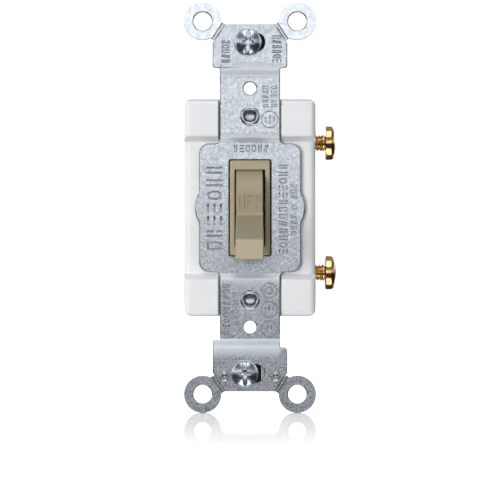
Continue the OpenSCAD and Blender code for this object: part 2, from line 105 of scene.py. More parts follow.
STRAP_LOW, STRAP_HIGH = box_mm("mounting_strap")
REAR_LOW, REAR_HIGH = box_mm("rear_housing")
PIVOT = Vector(joint("lever_tilt")["pos_m"]) / MM
THROW = math.radians(joint("lever_tilt")["range_deg"][1] / 2)
SPLIT_Y = REAR_LOW.y
STEEL_T = 1.2
END_Y = STRAP_LOW.y
CENTRE_Y = STRAP_HIGH.y - STEEL_T
MID_Y = 1.0
EAR_R = 4.67
RIVET_Z = 23.2
CLIP_RIVET = (6.45, -42.4)
TAB_Z = 33.4
BENDS = ((16.6, 18.2), (33.1, 35.4))

# Distances from the middle of an ear: where the edges stay crisp, and where the score line runs
EAR_CRISP = (3.9, 6.6)
EAR_SCORE = (4.3, 5.4)
# Distances from a rivet's middle within which the strap's edges lie under its head
RIVET_COVER = 2.1
CLIP_RIVET_COVER = 1.1

# The panel in the back of the body: distances from its rearmost plane, and half its height
PANEL_DEPTH = (0.2, 1.5)
PANEL_HALF = 11
# Edges at the sides of the body that are not rounded: distance from the middle plane and height
SIDE_STEP_X = 14.5
SIDE_STEP_Z = (16, 19)

# The lever: its drum's radius, how far along it from the pivot its root and its end face lie,
# and how far it sits to the right of the middle
DRUM_R = 11.2
LEVER_ROOT = (10.6, 13.4)
TIP_FACE_U = 22.7
LEVER_SHIFT = -0.1


# ---------- mesh helpers ----------

def mesh_object(name, verts, faces, matrix=Matrix.Identity(4)):
    """A new object from vertices in millimetres, put in place by a matrix in millimetres."""
    mesh = bpy.data.meshes.new(name)
    mesh.from_pydata([(matrix @ Vector(v)) * MM for v in verts], [], faces)
    obj = bpy.data.objects.new(name, mesh)
    bpy.context.scene.collection.objects.link(obj)
    edit(obj, lambda bm: bmesh.ops.recalc_face_normals(bm, faces=bm.faces))
    return obj


def edit(obj, action):
    """Changes the object's mesh by an action on its bmesh."""
    bm = bmesh.new()
    bm.from_mesh(obj.data)
    action(bm)
    bm.to_mesh(obj.data)
    bm.free()


def apply_modifiers(obj):
    """Bakes the object's modifiers into its own mesh."""
    graph = bpy.context.evaluated_depsgraph_get()
    made = bpy.data.meshes.new_from_object(obj.evaluated_get(graph))
    obj.modifiers.clear()
    obj.data = made
    return obj


def combine(obj, tool, operation):
    """Cuts the tool out of obj, or joins it on, and throws the tool away."""
    change = obj.modifiers.new(operation, "BOOLEAN")
    change.operation = operation
    change.solver = "MANIFOLD"
    change.object = tool
    apply_modifiers(obj)
    bpy.data.objects.remove(tool)
    return obj


def round_edges(obj, width, segments=3, share=lambda a, b: 1.0, sharp=35):
    """Rounds every sharp edge. share gives the part of the width that an edge between a and b takes.

    The faces that the rounding makes are marked in the attribute "edge", for the materials:
    painted shade on the edges of the zinc pieces, and paler worn edges on the plastics.
    """
    def weigh(bm):
        weight = bm.edges.layers.float.new("bevel_weight_edge")
        for e in bm.edges:
            if len(e.link_faces) == 2 and e.calc_face_angle() > math.radians(sharp):
                e[weight] = share(e.verts[0].co / MM, e.verts[1].co / MM)
    edit(obj, weigh)
    obj.data.materials.clear()
    obj.data.materials.append(None)
    obj.data.materials.append(None)
    rounding = obj.modifiers.new("rounding", "BEVEL")
    rounding.limit_method = "WEIGHT"
    rounding.width = width * MM
    rounding.segments = segments
    rounding.use_clamp_overlap = False
    rounding.material = 1
    apply_modifiers(obj)
    mark_edges(obj)
    return obj


def mark_edges(obj):
    """Turns the rounding's material index into the point attribute "edge"."""
    mesh = obj.data
    inside = [1.0] * len(mesh.vertices)
    for p in mesh.polygons:
        for v in p.vertices:
            inside[v] = min(inside[v], p.material_index)
        p.material_index = 0
    mesh.materials.clear()
    set_attribute(obj, "edge", inside)


def set_attribute(obj, name, values):
    """Stores one number for each vertex, for the materials to read."""
    obj.data.attributes.new(name, "FLOAT", "POINT").data.foreach_set("value", values)


def grid_cut(obj, step):
    """Cuts the faces along a grid in X and Z, so that no flat face holds many marks."""
    def cut(bm):
        for axis, reach in ((0, 15), (2, 50)):
            for i in range(-int(reach / step), int(reach / step) + 1):
                place, normal = Vector(), Vector()
                place[axis], normal[axis] = (i + 0.37) * step * MM, 1
                bmesh.ops.bisect_plane(bm, geom=bm.verts[:] + bm.edges[:] + bm.faces[:],
                                       plane_co=place, plane_no=normal)
    edit(obj, cut)


def flatten(obj):
    """Shades the faces that lie square to an axis flat, and takes "edge" off their rims."""
    def clear(bm):
        edge = bm.verts.layers.float["edge"]
        for f in bm.faces:
            if max(map(abs, f.normal)) > 0.9999:
                f.smooth = False
                for v in f.verts:
                    v[edge] = 0.0
    edit(obj, clear)
    return obj


def smooth(obj, sharp=42):
    """Smooth shading that keeps the edges sharper than an angle, and leaves flat faces flat."""
    split_concave(obj)

    def flag(bm):
        for f in bm.faces:
            f.smooth = True
        for e in bm.edges:
            e.smooth = len(e.link_faces) == 2 and e.calc_face_angle() < math.radians(sharp)
    edit(obj, flag)
    normals = obj.modifiers.new("normals", "WEIGHTED_NORMAL")
    normals.keep_sharp = True
    return obj


def split_concave(obj):
    """Splits the faces that are not convex, so that none is drawn across its own hole or notch."""
    edit(obj, lambda bm: bmesh.ops.connect_verts_concave(bm, faces=bm.faces))


def cad_copy(node, name, crease=0.4):
    """A copy of a CAD node's mesh, with the faces merged that meet at less than crease degrees."""
    obj = bpy.data.objects.new(name, frame["nodes"][node].data.copy())
    bpy.context.scene.collection.objects.link(obj)

    def clean(bm):
        bmesh.ops.remove_doubles(bm, verts=bm.verts, dist=0.002 * MM)
        bmesh.ops.dissolve_limit(bm, angle_limit=math.radians(crease), verts=bm.verts,
                                 edges=bm.edges)

    edit(obj, clean)
    obj.data.materials.clear()
    return obj


def finish_piece(obj, body, node, material):
    """Gives a piece its finish and its body, and hides the CAD node that it stands for."""
    obj.data.materials.clear()
    obj.data.materials.append(material)
    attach(obj, body)
    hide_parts(node)
    return obj


def revolve(rows, sides=48, depth=0.0):
    """A turned solid about its own Z. A row is (height, radius, share of the thread's depth)."""
    verts, faces, rings = [], [], []
    for height, radius, cut in rows:
        ring = []
        for k in range(1 if radius < 1e-6 else sides):
            r = radius - depth * cut * thread_form(height / PITCH - k / sides)
            ring.append(len(verts))
            verts.append((r * math.cos(TAU * k / sides), r * math.sin(TAU * k / sides), height))
        rings.append(ring)
    for a, b in zip(rings, rings[1:]):
        for k in range(sides):
            n = (k + 1) % sides
            loop = [a[k % len(a)], a[n % len(a)], b[n % len(b)], b[k % len(b)]]
            faces.append(list(dict.fromkeys(loop)))
    return verts, faces


def thread_form(phase):
    """Depth of a thread's groove, 0 on its crest and 1 at its root, with narrow flats."""
    return min(max((1 - abs(2 * (phase % 1) - 1)) * 1.3 - 0.15, 0), 1)


def arc(centre, radius, start, end, steps):
    """Points (height, radius) of an arc in a turned profile; angles in degrees from the height axis."""
    out = []
    for i in range(steps + 1):
        a = math.radians(start + (end - start) * i / steps)
        out.append((centre[0] + radius * math.cos(a), centre[1] + radius * math.sin(a)))
    return out


def frustum(half_a, half_b, z0, z1):
    """A block whose half sizes run from half_a at z0 to half_b at z1."""
    corners = [(-1, -1), (1, -1), (1, 1), (-1, 1)]
    verts = [(half_a[0] * x, half_a[1] * y, z0) for x, y in corners]
    verts += [(half_b[0] * x, half_b[1] * y, z1) for x, y in corners]
    sides = [(k, (k + 1) % 4, 4 + (k + 1) % 4, 4 + k) for k in range(4)]
    return verts, [(3, 2, 1, 0), (4, 5, 6, 7)] + sides


# ---------- stamped marks ----------

# How dark the painted shade in the stamped marks is, from 0 to 1
MARK_SHADE = 0.62
# Strokes of the generic marks, in a unit square: (points, closed)
RING = ([(0.5 + 0.42 * math.cos(TAU * k / 12), 0.5 + 0.42 * math.sin(TAU * k / 12))
         for k in range(12)], True)
MARKS = [
    [([(0.2, 0.02), (0.2, 0.98)], False), ([(0.75, 0.02), (0.75, 0.98)], False)],
    [RING],
    [([(0.1, y), (0.9, y)], False) for y in (0.08, 0.5, 0.92)],
    [([(0.2, 0.05), (0.2, 0.95)], False), ([(0.7, 0.6), (0.7, 0.95)], False),
     ([(0.7, 0.05), (0.7, 0.3)], False)],
    [([(0.14, 0.08), (0.86, 0.08), (0.86, 0.92), (0.14, 0.92)], True)],
    [([(0.1, 0.05), (0.45, 0.95)], False), ([(0.55, 0.05), (0.9, 0.95)], False)],
]


def groove(points, closed, width, depth, face_y):
    """A closed solid that stamps one stroke of rounded section into the face at face_y."""
    section = [(-0.56, -0.3), (-0.5, 0), (-0.3, 0.85), (0, 1), (0.3, 0.85), (0.5, 0), (0.56, -0.3)]
    stations = []
    count = len(points)
    for i, p in enumerate(points):
        before = points[i - 1] if closed or i else p
        after = points[(i + 1) % count] if closed or i < count - 1 else p
        stations.append((Vector(p), (Vector(p) - Vector(before)), (Vector(after) - Vector(p))))
    rings = []
    for p, into, out in stations:
        a = into.normalized() if into.length else out.normalized()
        b = out.normalized() if out.length else a
        along = (a + b).normalized()
        side = Vector((-along.y, along.x)) / max(along.dot(a), 0.5)
        ends = [(0.0, 1.0)]
        if not closed and not into.length:
            ends = [(-0.5, 0.35), (-0.36, 0.8), (0.0, 1.0)]
        if not closed and not out.length:
            ends = [(0.0, 1.0), (0.36, 0.8), (0.5, 0.35)]
        for shift, size in ends:
            c = p + along * shift * width
            rings.append([(c.x + side.x * u * width * size, face_y + v * depth * (size if v > 0 else 1),
                           c.y + side.y * u * width * size) for u, v in section])
    n = len(section)
    verts = [v for ring in rings for v in ring]
    faces = []
    spans = len(rings) if closed else len(rings) - 1
    for i in range(spans):
        j = (i + 1) % len(rings)
        faces += [(i * n + k, i * n + (k + 1) % n, j * n + (k + 1) % n, j * n + k) for k in range(n)]
    if not closed:
        faces += [list(range(n))[::-1], [(len(rings) - 1) * n + k for k in range(n)]]
    return verts, faces


def mark_row(start, end, height, count, width, depth, face_y, first=0):
    """Strokes of a row of generic marks, whose middle line runs from start to end."""
    a, b = Vector(start), Vector(end)
    step = (b - a) / count
    up = Vector((-step.y, step.x)).normalized() * height
    out = []
    for i in range(count):
        for points, closed in MARKS[(first + 5 * i + i // 3) % len(MARKS)]:
            placed = [a + step * (i + 0.1 + 0.72 * u) + up * (v - 0.5) for u, v in points]
            out.append(groove(placed, closed, width, depth, face_y))
    return out


def ring_mark(centre, radius, width, depth, face_y, bars=0, inner=0.0):
    """A stamped ring with a few short bars or a smaller ring inside it."""
    def circle(r, steps):
        """Points of a circle round the ring's centre."""
        return [(centre[0] + r * math.cos(TAU * k / steps), centre[1] + r * math.sin(TAU * k / steps))
                for k in range(steps)]
    out = [groove(circle(radius, 40), True, width, depth, face_y)]
    if inner:
        out.append(groove(circle(inner, 20), True, width, depth, face_y))
    for i in range(bars):
        x = centre[0] + (i - (bars - 1) / 2) * radius * 0.5
        half = radius * (0.5 if i % 2 else 0.3)
        out.append(groove([(x, centre[1] - half), (x, centre[1] + half)], False, width, depth, face_y))
    return out


def strap_marks():
    """All the stamped strokes of the strap, as one solid of separate shells."""
    fine, small, bold = (0.32, 0.2), (0.24, 0.17), (0.52, 0.28)
    parts = []
    parts += mark_row((-6.1, 36.4), (-6.1, 42.4), 2.1, 5, *fine, END_Y)
    parts += mark_row((6.8, 36.4), (6.8, 43.6), 2.3, 6, *fine, END_Y, 2)
    parts += mark_row((3.9, 25.3), (3.9, 31.0), 1.5, 5, *small, MID_Y, 1)
    parts += mark_row((6.1, 25.3), (6.1, 31.0), 1.5, 5, *small, MID_Y, 4)
    parts += mark_row((-4.3, 15.0), (4.9, 15.0), 1.8, 6, *fine, CENTRE_Y, 3)
    parts += mark_row((-9.0, -11.1), (-9.0, 11.3), 3.9, 7, *bold, CENTRE_Y, 4)
    parts += mark_row((8.4, -12.0), (8.4, 11.4), 2.2, 13, *fine, CENTRE_Y, 2)
    parts += mark_row((11.1, -7.0), (11.1, -1.6), 1.7, 4, *small, CENTRE_Y, 1)
    parts += mark_row((11.1, 2.0), (11.1, 6.4), 1.7, 3, *small, CENTRE_Y, 5)
    parts += mark_row((-6.0, -32.2), (-6.0, -18.9), 1.6, 9, *fine, MID_Y, 3)
    parts += mark_row((-3.7, -29.8), (-3.7, -21.0), 1.4, 6, *small, MID_Y, 0)
    parts += ring_mark((5.0, 22.3), 2.1, *small, MID_Y, bars=3)
    parts += ring_mark((11.2, 0.2), 0.55, *small, CENTRE_Y)
    parts += ring_mark((4.85, -20.9), 1.85, *small, MID_Y, inner=0.9)
    parts += ring_mark((4.85, -25.7), 2.05, *small, MID_Y, bars=3)
    parts += ring_mark((4.85, -30.6), 2.0, *small, MID_Y, bars=2)
    verts, faces = [], []
    for v, f in parts:
        faces += [[i + len(verts) for i in face] for face in f]
        verts += v
    marks = mesh_object("strap_marks", verts, faces)
    # painted shade: every face of the marks takes a share of the dark "edge" colour
    set_attribute(marks, "edge", [MARK_SHADE] * len(verts))
    return marks


def ear_distance(p):
    """How far a point is from the middle of the nearest plaster ear."""
    return math.hypot(STRAP_HIGH.x - EAR_R - abs(p.x), STRAP_HIGH.z - EAR_R - abs(p.z))


def make_strap(material):
    """The stamped strap: score lines darkened by painted shade, painted light on its upper ears, and a
    duller finish in its bends, with painted light on them too.
    """
    def share(a, b):
        near, far = sorted((ear_distance(a), ear_distance(b)))
        if EAR_CRISP[0] < near and far < EAR_CRISP[1]:
            return CRISP_EAR_SHARE
        under_rivet = abs(abs(a.z) - RIVET_Z) < RIVET_COVER and abs(a.x) < RIVET_COVER
        under_clip_rivet = (abs(a.z - CLIP_RIVET[1]) < CLIP_RIVET_COVER
                            and abs(abs(a.x) - CLIP_RIVET[0]) < CLIP_RIVET_COVER)
        at_tab = max(abs(a.z + TAB_Z), abs(b.z + TAB_Z)) < 0.3
        return 0.0 if under_rivet or under_clip_rivet or at_tab else 1.0

    strap = round_edges(cad_copy("mounting_strap", "strap"), PLATE_EDGE, 4, share)
    grid_cut(strap, 3.0)
    combine(strap, strap_marks(), "DIFFERENCE")
    smooth(strap)
    flatten(strap)
    points = strap.data.vertices
    # painted light: the upper ears are marked to be drawn lighter
    set_attribute(strap, "upper_ear_light", [float(v.co.z > 0 and ear_distance(v.co / MM) < EAR_R + 0.1)
                                     for v in points])
    # painted light: the bends are marked to be drawn lighter
    set_attribute(strap, "bend", [float(any(a < abs(v.co.z) / MM < b for a, b in BENDS))
                                  for v in points])
    # painted shade: the score lines take the full dark "edge" value
    for v, value in zip(points, strap.data.attributes["edge"].data):
        in_score = EAR_SCORE[0] < ear_distance(v.co / MM) < EAR_SCORE[1]
        if in_score and v.co.y > (END_Y + 0.1) * MM:
            value.value = 1.0
    return finish_piece(strap, ROOT, "mounting_strap", material)


# ---------- housings, collar and the pieces inside ----------

def body_share(a, b):
    """Rounds the seam of the housings less, and the rear panel and the side steps not at all."""
    if abs(a.y - SPLIT_Y) < 0.2 and abs(b.y - SPLIT_Y) < 0.2:
        return SEAM_EDGE / BODY_EDGE
    in_panel = (min(a.y, b.y) > REAR_HIGH.y - PANEL_DEPTH[1]
                and max(a.y, b.y) < REAR_HIGH.y - PANEL_DEPTH[0] and abs(a.z) < PANEL_HALF)
    at_step = min(abs(a.x), abs(b.x)) > SIDE_STEP_X and SIDE_STEP_Z[0] < abs(a.z) < SIDE_STEP_Z[1]
    return 0.0 if in_panel or at_step else 1.0


def make_rounded(node, width, body, material, share=lambda a, b: 1.0, segments=3,
                 pierced=False):
    """A rounded copy of a CAD node; a pierced one has flat faces with windows in them."""
    piece = cad_copy(node, node + "_finished")
    if pierced:
        split_concave(piece)
    round_edges(piece, width, segments, share)
    return finish_piece(flatten(smooth(piece)), body, node, material)


def lever_reach(p):
    """How far a point of the resting lever is from the pivot, along the lever."""
    return (PIVOT.y - p.y) * math.cos(THROW) - p.z * math.sin(THROW)


def make_lever(material):
    """The lever with its raised ON and OFF, and painted light that makes its end face paler."""
    def share(a, b):
        outside = min(a.y, b.y) < PIVOT.y - 1
        at_root = LEVER_ROOT[0] < (lever_reach(a) + lever_reach(b)) / 2 < LEVER_ROOT[1]
        return (LEVER_ROOT_SHARE if at_root else 1.0) if outside else LEVER_HIDDEN_SHARE

    lever = round_edges(cad_copy("toggle_lever", "lever_finished", 0.9), LEVER_EDGE, 4, share)
    combine(lever, lever_letters(), "UNION")
    smooth(lever, 38)
    # painted light: the lever's end face is marked to be drawn paler
    tip_light = [float(lever_reach(v.co / MM) > TIP_FACE_U) for v in lever.data.vertices]
    set_attribute(lever, "tip_light", tip_light)
    return finish_piece(lever, "lever", "toggle_lever", material)


# Cells of the raised letters, seven rows from the top, their sizes and how far they stand out
LETTERS = {
    "O": ["####", "#..#", "#..#", "#..#", "#..#", "#..#", "####"],
    "F": ["####", "#...", "#...", "###.", "#...", "#...", "#..."],
    "N": ["##..#", "##..#", "###.#", "#.#.#", "#.###", "#..##", "#..##"],
}
CELL_W = 0.41
CELL_H = 0.48
LETTER_MIDDLE = math.radians(36)
LETTER_RISE = 0.17


def lever_letters():
    """The raised words, OFF above the handle and ON below it."""
    verts, faces = [], []
    for word, side in (("OFF", 1), ("ON", -1)):
        columns = [""] * 7
        for letter in word:
            columns = [row + cells + "." for row, cells in zip(columns, LETTERS[letter])]
        cells = {(i, r) for r, row in enumerate(columns) for i, c in enumerate(row) if c == "#"}
        width = (len(columns[0]) - 1) * CELL_W
        v, f = wrapped_cells(cells, width, side * LETTER_MIDDLE)
        faces += [[i + len(verts) for i in face] for face in f]
        verts += v
    return round_edges(mesh_object("letters", verts, faces), 0.07, 2)


def wrapped_cells(cells, width, middle):
    """Square cells raised on the drum, round the angle middle from the lever's own axis."""
    verts, index, faces = [], {}, []

    def corner(i, r, top):
        if (i, r, top) not in index:
            radius = DRUM_R + LETTER_RISE if top else DRUM_R - 0.3
            angle = middle - THROW + (3.5 - r) * CELL_H / DRUM_R
            index[i, r, top] = len(verts)
            verts.append((LEVER_SHIFT - width / 2 + i * CELL_W, PIVOT.y - radius * math.cos(angle),
                          radius * math.sin(angle)))
        return index[i, r, top]

    for i, r in sorted(cells):
        for top in (True, False):
            faces.append([corner(i, r, top), corner(i + 1, r, top), corner(i + 1, r + 1, top),
                          corner(i, r + 1, top)])
        for (di, dr), (a, b) in {(-1, 0): ((0, 0), (0, 1)), (1, 0): ((1, 0), (1, 1)),
                                 (0, -1): ((0, 0), (1, 0)), (0, 1): ((0, 1), (1, 1))}.items():
            if (i + di, r + dr) not in cells:
                faces.append([corner(i + a[0], r + a[1], True), corner(i + b[0], r + b[1], True),
                              corner(i + b[0], r + b[1], False), corner(i + a[0], r + a[1], False)])
    return verts, faces


# ---------- screws and rivets ----------

def thread_rows(start, end, radius, tip):
    """Rows of a thread that fades in at its start and ends in a chamfered tip."""
    count = round((end - start) / PITCH * ROWS_PER_PITCH)
    rows = []
    for i in range(count + 1):
        h = start + (end - start) * i / count
        fade = min((h - start) / (1.2 * PITCH), 1.0)
        shrink = max(h - (end - tip), 0)
        rows.append((h, radius - shrink * 0.75, fade * (1 - shrink / (2 * tip))))
    return rows + [(end, 0, 0)]


def screw_head(radius, thick, dome, corner):
    """Rows of a head from its crown to its underside at height 0."""
    crown = (radius - corner) ** 2 / (2 * dome) + dome / 2
    rows = [(-thick, 0)]
    for i in range(1, 9):
        r = (radius - corner) * i / 8
        rows.append((-thick + crown - math.sqrt(crown ** 2 - r * r), r))
    edge = -thick + dome
    lean = math.degrees(math.asin((radius - corner) / crown))
    rows += arc((edge + corner * math.cos(math.radians(lean)), radius - corner), corner,
                180 - lean, 90, 6)
    rows += [(-0.3, radius), (-0.08, radius - 0.06), (0, radius - 0.28)]
    return [(h, r, 0) for h, r in rows]


def make_screw(name, place, head, shank, slot_turn, body, node, material, cross=True):
    """A binding-head screw: a turned and threaded blank with its driver recess cut in."""
    radius, thick, dome, corner = head
    neck, neck_end, thread_r, length, tip = shank
    rows = screw_head(radius, thick, dome, corner)
    rows += [(0, neck + 0.25, 0), (0.25, neck, 0), (max(neck_end, 0.3), neck, 0)]
    start = max(neck_end, 0.3) + (0.35 if neck_end else 0.05)
    rows += thread_rows(start, length, thread_r, tip)
    blank = mesh_object(name, *revolve(rows, 44, THREAD_DEPTH))
    turn = Matrix.Rotation(math.radians(slot_turn), 4, "Z")
    slot_half = 0.085 * 2 * radius
    tools = [(turn, (slot_half, radius + 1), (slot_half * 0.9, radius + 1), 0.85)]
    if cross:
        arm, arm_low, wide = 0.54 * radius, 0.3 * radius, slot_half * 0.85
        diagonal = turn @ Matrix.Rotation(math.pi / 4, 4, "Z")
        tools += [(turn, (arm, wide), (arm_low, wide * 0.7), 1.1),
                  (turn, (wide, arm), (wide * 0.7, arm_low), 1.1),
                  (diagonal, (0.34 * radius,) * 2, (0.1 * radius,) * 2, 1.0)]
    for where, top, bottom, depth in tools:
        block = frustum(top, bottom, -thick - 0.3, -thick + depth)
        combine(blank, mesh_object("recess", *block, where), "DIFFERENCE")
    if cross:
        round_edges(blank, 0.07, 2, lambda a, b: float(max(a.z, b.z) < -0.5), 40)
    blank.data.transform(Matrix.Scale(MM, 4) @ place @ Matrix.Scale(1 / MM, 4))
    split_concave(blank)
    smooth(blank, 50)
    return finish_piece(blank, body, node, material)


def make_terminal_screws(material):
    """Terminal screws: their axes lie along X and their heads are at the right."""
    for node, body, turn in (("terminal_screw_top", "line_screw", 118),
                             ("terminal_screw_bottom", "load_screw", 124)):
        low, high = box_mm(node)
        radius, thick = (high.z - low.z) / 2, 2.7
        centre = Vector((high.x - thick, (low.y + high.y) / 2, (low.z + high.z) / 2))
        place = Matrix.Translation(centre) @ Matrix.Rotation(-math.pi / 2, 4, "Y")
        make_screw(node + "_finished", place, (radius, thick, 0.45, 1.05),
                   (1.62, 0.0, 2.06, centre.x - low.x, 0.6), turn, body, node,
                   material, cross=False)


def make_mounting_screws(material):
    """Box screws: their axes lie along Y and their heads are in front of the strap."""
    for node, body, turn in (("mounting_screw_top", "top_box_screw", 2),
                             ("mounting_screw_bottom", "bottom_box_screw", -2)):
        low, high = box_mm(node)
        radius, thick = (high.x - low.x) / 2, 1.9
        centre = Vector(((low.x + high.x) / 2, low.y + thick, (low.z + high.z) / 2))
        place = Matrix.Translation(centre) @ Matrix.Rotation(-math.pi / 2, 4, "X")
        make_screw(node + "_finished", place, (radius, thick, 1.05, 0.35),
                   (1.45, 3.2, 1.74, high.y - centre.y, 0.8), turn, body, node,
                   material)


def place_along_y(x, y, z):
    """Puts a turned piece's own Z along Y, with its origin at the point."""
    return Matrix.Translation((x, y, z)) @ Matrix.Rotation(-math.pi / 2, 4, "X")


def make_rivets(material):
    """Two semi-tubular rivets, each rolled over on the strap's front."""
    low, high = box_mm("strap_rivets")
    rivet_z = (high.z - low.z) / 2 - 2.8
    depth = high.y - MID_Y
    # The third number of each row is painted shade: dark at the hollow's mouth, in its bottom corner and
    # where the rolled ring meets the strap.
    rows = [(2.2, 0, 0), (2.2, 1.0, 0), (2.15, 1.15, 0.4), (2.0, 1.2, 0.1), (0.35, 1.22, 0.1),
            (0.1, 1.3, 0.8), (-0.12, 1.42, 0.3)]
    rows += [(h, r, 0) for h, r in arc((0.0, 1.97), 0.55, 205, 115, 8)]
    rows += [(-0.08, 2.5, 0.6), (0.0, 2.44, 1), (0.1, 2.3, 1), (0.12, 1.72, 1), (depth - 0.8, 1.7, 0),
             (depth - 0.8, 2.6, 0), (depth - 0.7, 2.76, 0), (depth - 0.5, 2.8, 0),
             (depth - 0.15, 2.72, 0), (depth, 2.45, 0), (depth, 0, 0)]
    return turned_pair("strap_rivets", [(0, MID_Y, s * rivet_z) for s in (1, -1)], rows, material)


def make_clip_rivets(material):
    """Two small staked rivets that hold the grounding clip."""
    low, high = box_mm("clip_rivets")
    x, z = high.x - 1.25, (low.z + high.z) / 2
    back = high.y - low.y - 0.35
    # The third number of each row is painted shade: dark in the dimple and where the head meets the clip.
    rows = [(0.15, 0, 0), (0.14, 0.35, 0), (0.05, 0.48, 1), (-0.2, 0.55, 0.5), (-0.33, 0.72, 0),
            (-0.35, 0.9, 0), (-0.3, 1.08, 0), (-0.16, 1.21, 0.2), (0, 1.25, 1), (0.02, 0.8, 1),
            (back - 0.3, 0.8, 0), (back - 0.3, 1.1, 0), (back - 0.1, 1.15, 0), (back, 1.0, 0),
            (back, 0, 0)]
    return turned_pair("clip_rivets", [(s * x, END_Y, z) for s in (1, -1)], rows, material)


def turned_pair(node, places, rows, material):
    """Turned pieces from rows of (height, radius, share of painted shade)."""
    verts, faces, recess_shade = [], [], []
    sides = 40
    for p in places:
        v, f = revolve([(h, r, 0) for h, r, g in rows], sides)
        faces += [[i + len(verts) for i in face] for face in f]
        verts += [place_along_y(*p) @ Vector(q) for q in v]
        for h, r, g in rows:
            recess_shade += [g] * (1 if r < 1e-6 else sides)
    piece = mesh_object(node + "_finished", verts, faces)
    # painted shade, from the rows' third numbers
    set_attribute(piece, "recess_shade", recess_shade)
    return finish_piece(smooth(piece, 50), ROOT, node, material)


# ---------- springs ----------

def coil_object(name, start, end, radius, wire, turns):
    """A closed helical wire from start to end, with its last turn at each end wound close."""
    a, b = Vector(start), Vector(end)
    axis = (b - a).normalized()
    side = axis.cross(Vector((1, 0, 0))).normalized()
    other = axis.cross(side)
    steps, sides = 20 * turns, 8
    centres = []
    for i in range(steps + 1):
        t = i / steps
        flat = t * turns
        travel = (min(flat, 1) * 0.35 + max(min(flat - 1, turns - 2), 0)
                  + max(flat - turns + 1, 0) * 0.35) / (turns - 2 + 0.7)
        angle = TAU * flat
        centres.append(a + (b - a) * travel
                       + (side * math.cos(angle) + other * math.sin(angle)) * radius)
    verts, faces = [], []
    for i, c in enumerate(centres):
        tangent = (centres[min(i + 1, steps)] - centres[max(i - 1, 0)]).normalized()
        out = tangent.cross(axis).normalized()
        up = tangent.cross(out)
        for k in range(sides):
            q = TAU * k / sides
            verts.append(c + (out * math.cos(q) + up * math.sin(q)) * wire / 2)
    for i in range(steps):
        faces += [(i * sides + k, i * sides + (k + 1) % sides, (i + 1) * sides + (k + 1) % sides,
                   (i + 1) * sides + k) for k in range(sides)]
    faces += [list(range(sides)), [steps * sides + k for k in range(sides)]]
    return mesh_object(name, verts, faces)


def make_spring(node, start, end, radius, wire, turns, moving, material):
    """A coil spring whose near end follows a moving body and whose far end stays in its seat."""
    piece = smooth(coil_object(node + "_finished", start, end, radius, wire, turns), 60)
    piece.data.materials.append(material)
    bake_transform(piece, moving, ROOT, [c * MM for c in start], [c * MM for c in end])
    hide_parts(node)
    return piece


def make_springs(material):
    """The lever's spring and the contact arm's spring."""
    low, high = box_mm("toggle_spring")
    make_spring("toggle_spring", (0, low.y + 0.3, high.z - 2.1), (0, high.y - 0.3, 0),
                1.8, 0.5, 7, "lever", material)
    low, high = box_mm("contact_spring")
    x, z = (low.x + high.x) / 2, (low.z + high.z) / 2
    make_spring("contact_spring", (x, low.y + 0.25, z), (x, high.y - 0.25, z), 1.5, 0.4, 6, "arm",
                material)


# ---------- materials ----------

class Finish:
    """A procedural material whose patterns are measured in millimetres on the piece itself."""

    def __init__(self, name, colour, roughness, metallic=0.0, **sockets):
        self.material = bpy.data.materials.new(name)
        self.material.use_nodes = True
        self.material.diffuse_color = (*colour, 1)
        self.nodes = self.material.node_tree.nodes
        self.links = self.material.node_tree.links
        self.shader = self.nodes["Principled BSDF"]
        self.shader.inputs["Base Color"].default_value = (*colour, 1)
        self.shader.inputs["Roughness"].default_value = roughness
        self.shader.inputs["Metallic"].default_value = metallic
        for socket, value in sockets.items():
            self.shader.inputs[socket.replace("_", " ")].default_value = value
        self.place = self.nodes.new("ShaderNodeTexCoord").outputs["Object"]

    def noise(self, size, detail=2.0, stretch=(1, 1, 1)):
        """Noise whose blobs are about size millimetres across, times stretch along each axis."""
        scale = self.nodes.new("ShaderNodeMapping")
        scale.inputs["Scale"].default_value = [1000 / (size * s) for s in stretch]
        self.links.new(self.place, scale.inputs["Vector"])
        texture = self.nodes.new("ShaderNodeTexNoise")
        texture.inputs["Scale"].default_value = 1.0
        texture.inputs["Detail"].default_value = detail
        self.links.new(scale.outputs["Vector"], texture.inputs["Vector"])
        return texture.outputs["Fac"]

    def attribute(self, name):
        node = self.nodes.new("ShaderNodeAttribute")
        node.attribute_name = name
        return node.outputs["Fac"]

    def spread(self, value, low, high, to_low, to_high):
        """Maps value from low..high to to_low..to_high, and holds it there."""
        node = self.nodes.new("ShaderNodeMapRange")
        for socket, number in zip(("From Min", "From Max", "To Min", "To Max"),
                                  (low, high, to_low, to_high)):
            node.inputs[socket].default_value = number
        self.links.new(value, node.inputs["Value"])
        return node.outputs["Result"]

    def blend(self, share, first, second):
        """A colour between two, each a socket or three numbers."""
        node = self.nodes.new("ShaderNodeMix")
        node.data_type = "RGBA"
        self.links.new(share, node.inputs["Factor"])
        for socket, colour in ((node.inputs[6], first), (node.inputs[7], second)):
            if isinstance(colour, bpy.types.NodeSocket):
                self.links.new(colour, socket)
            else:
                socket.default_value = (*colour, 1)
        return node.outputs[2]

    def paint(self, socket, value):
        self.links.new(value, self.shader.inputs[socket])

    def bump(self, height, depth, strength=1.0):
        """Relief of the given depth in millimetres."""
        node = self.nodes.new("ShaderNodeBump")
        node.inputs["Strength"].default_value = strength
        node.inputs["Distance"].default_value = depth * MM
        self.links.new(height, node.inputs["Height"])
        if self.shader.inputs["Normal"].links:
            self.links.new(self.shader.inputs["Normal"].links[0].from_socket, node.inputs["Normal"])
        self.links.new(node.outputs["Normal"], self.shader.inputs["Normal"])


def shade(colour, factor):
    return tuple(c * factor for c in colour)


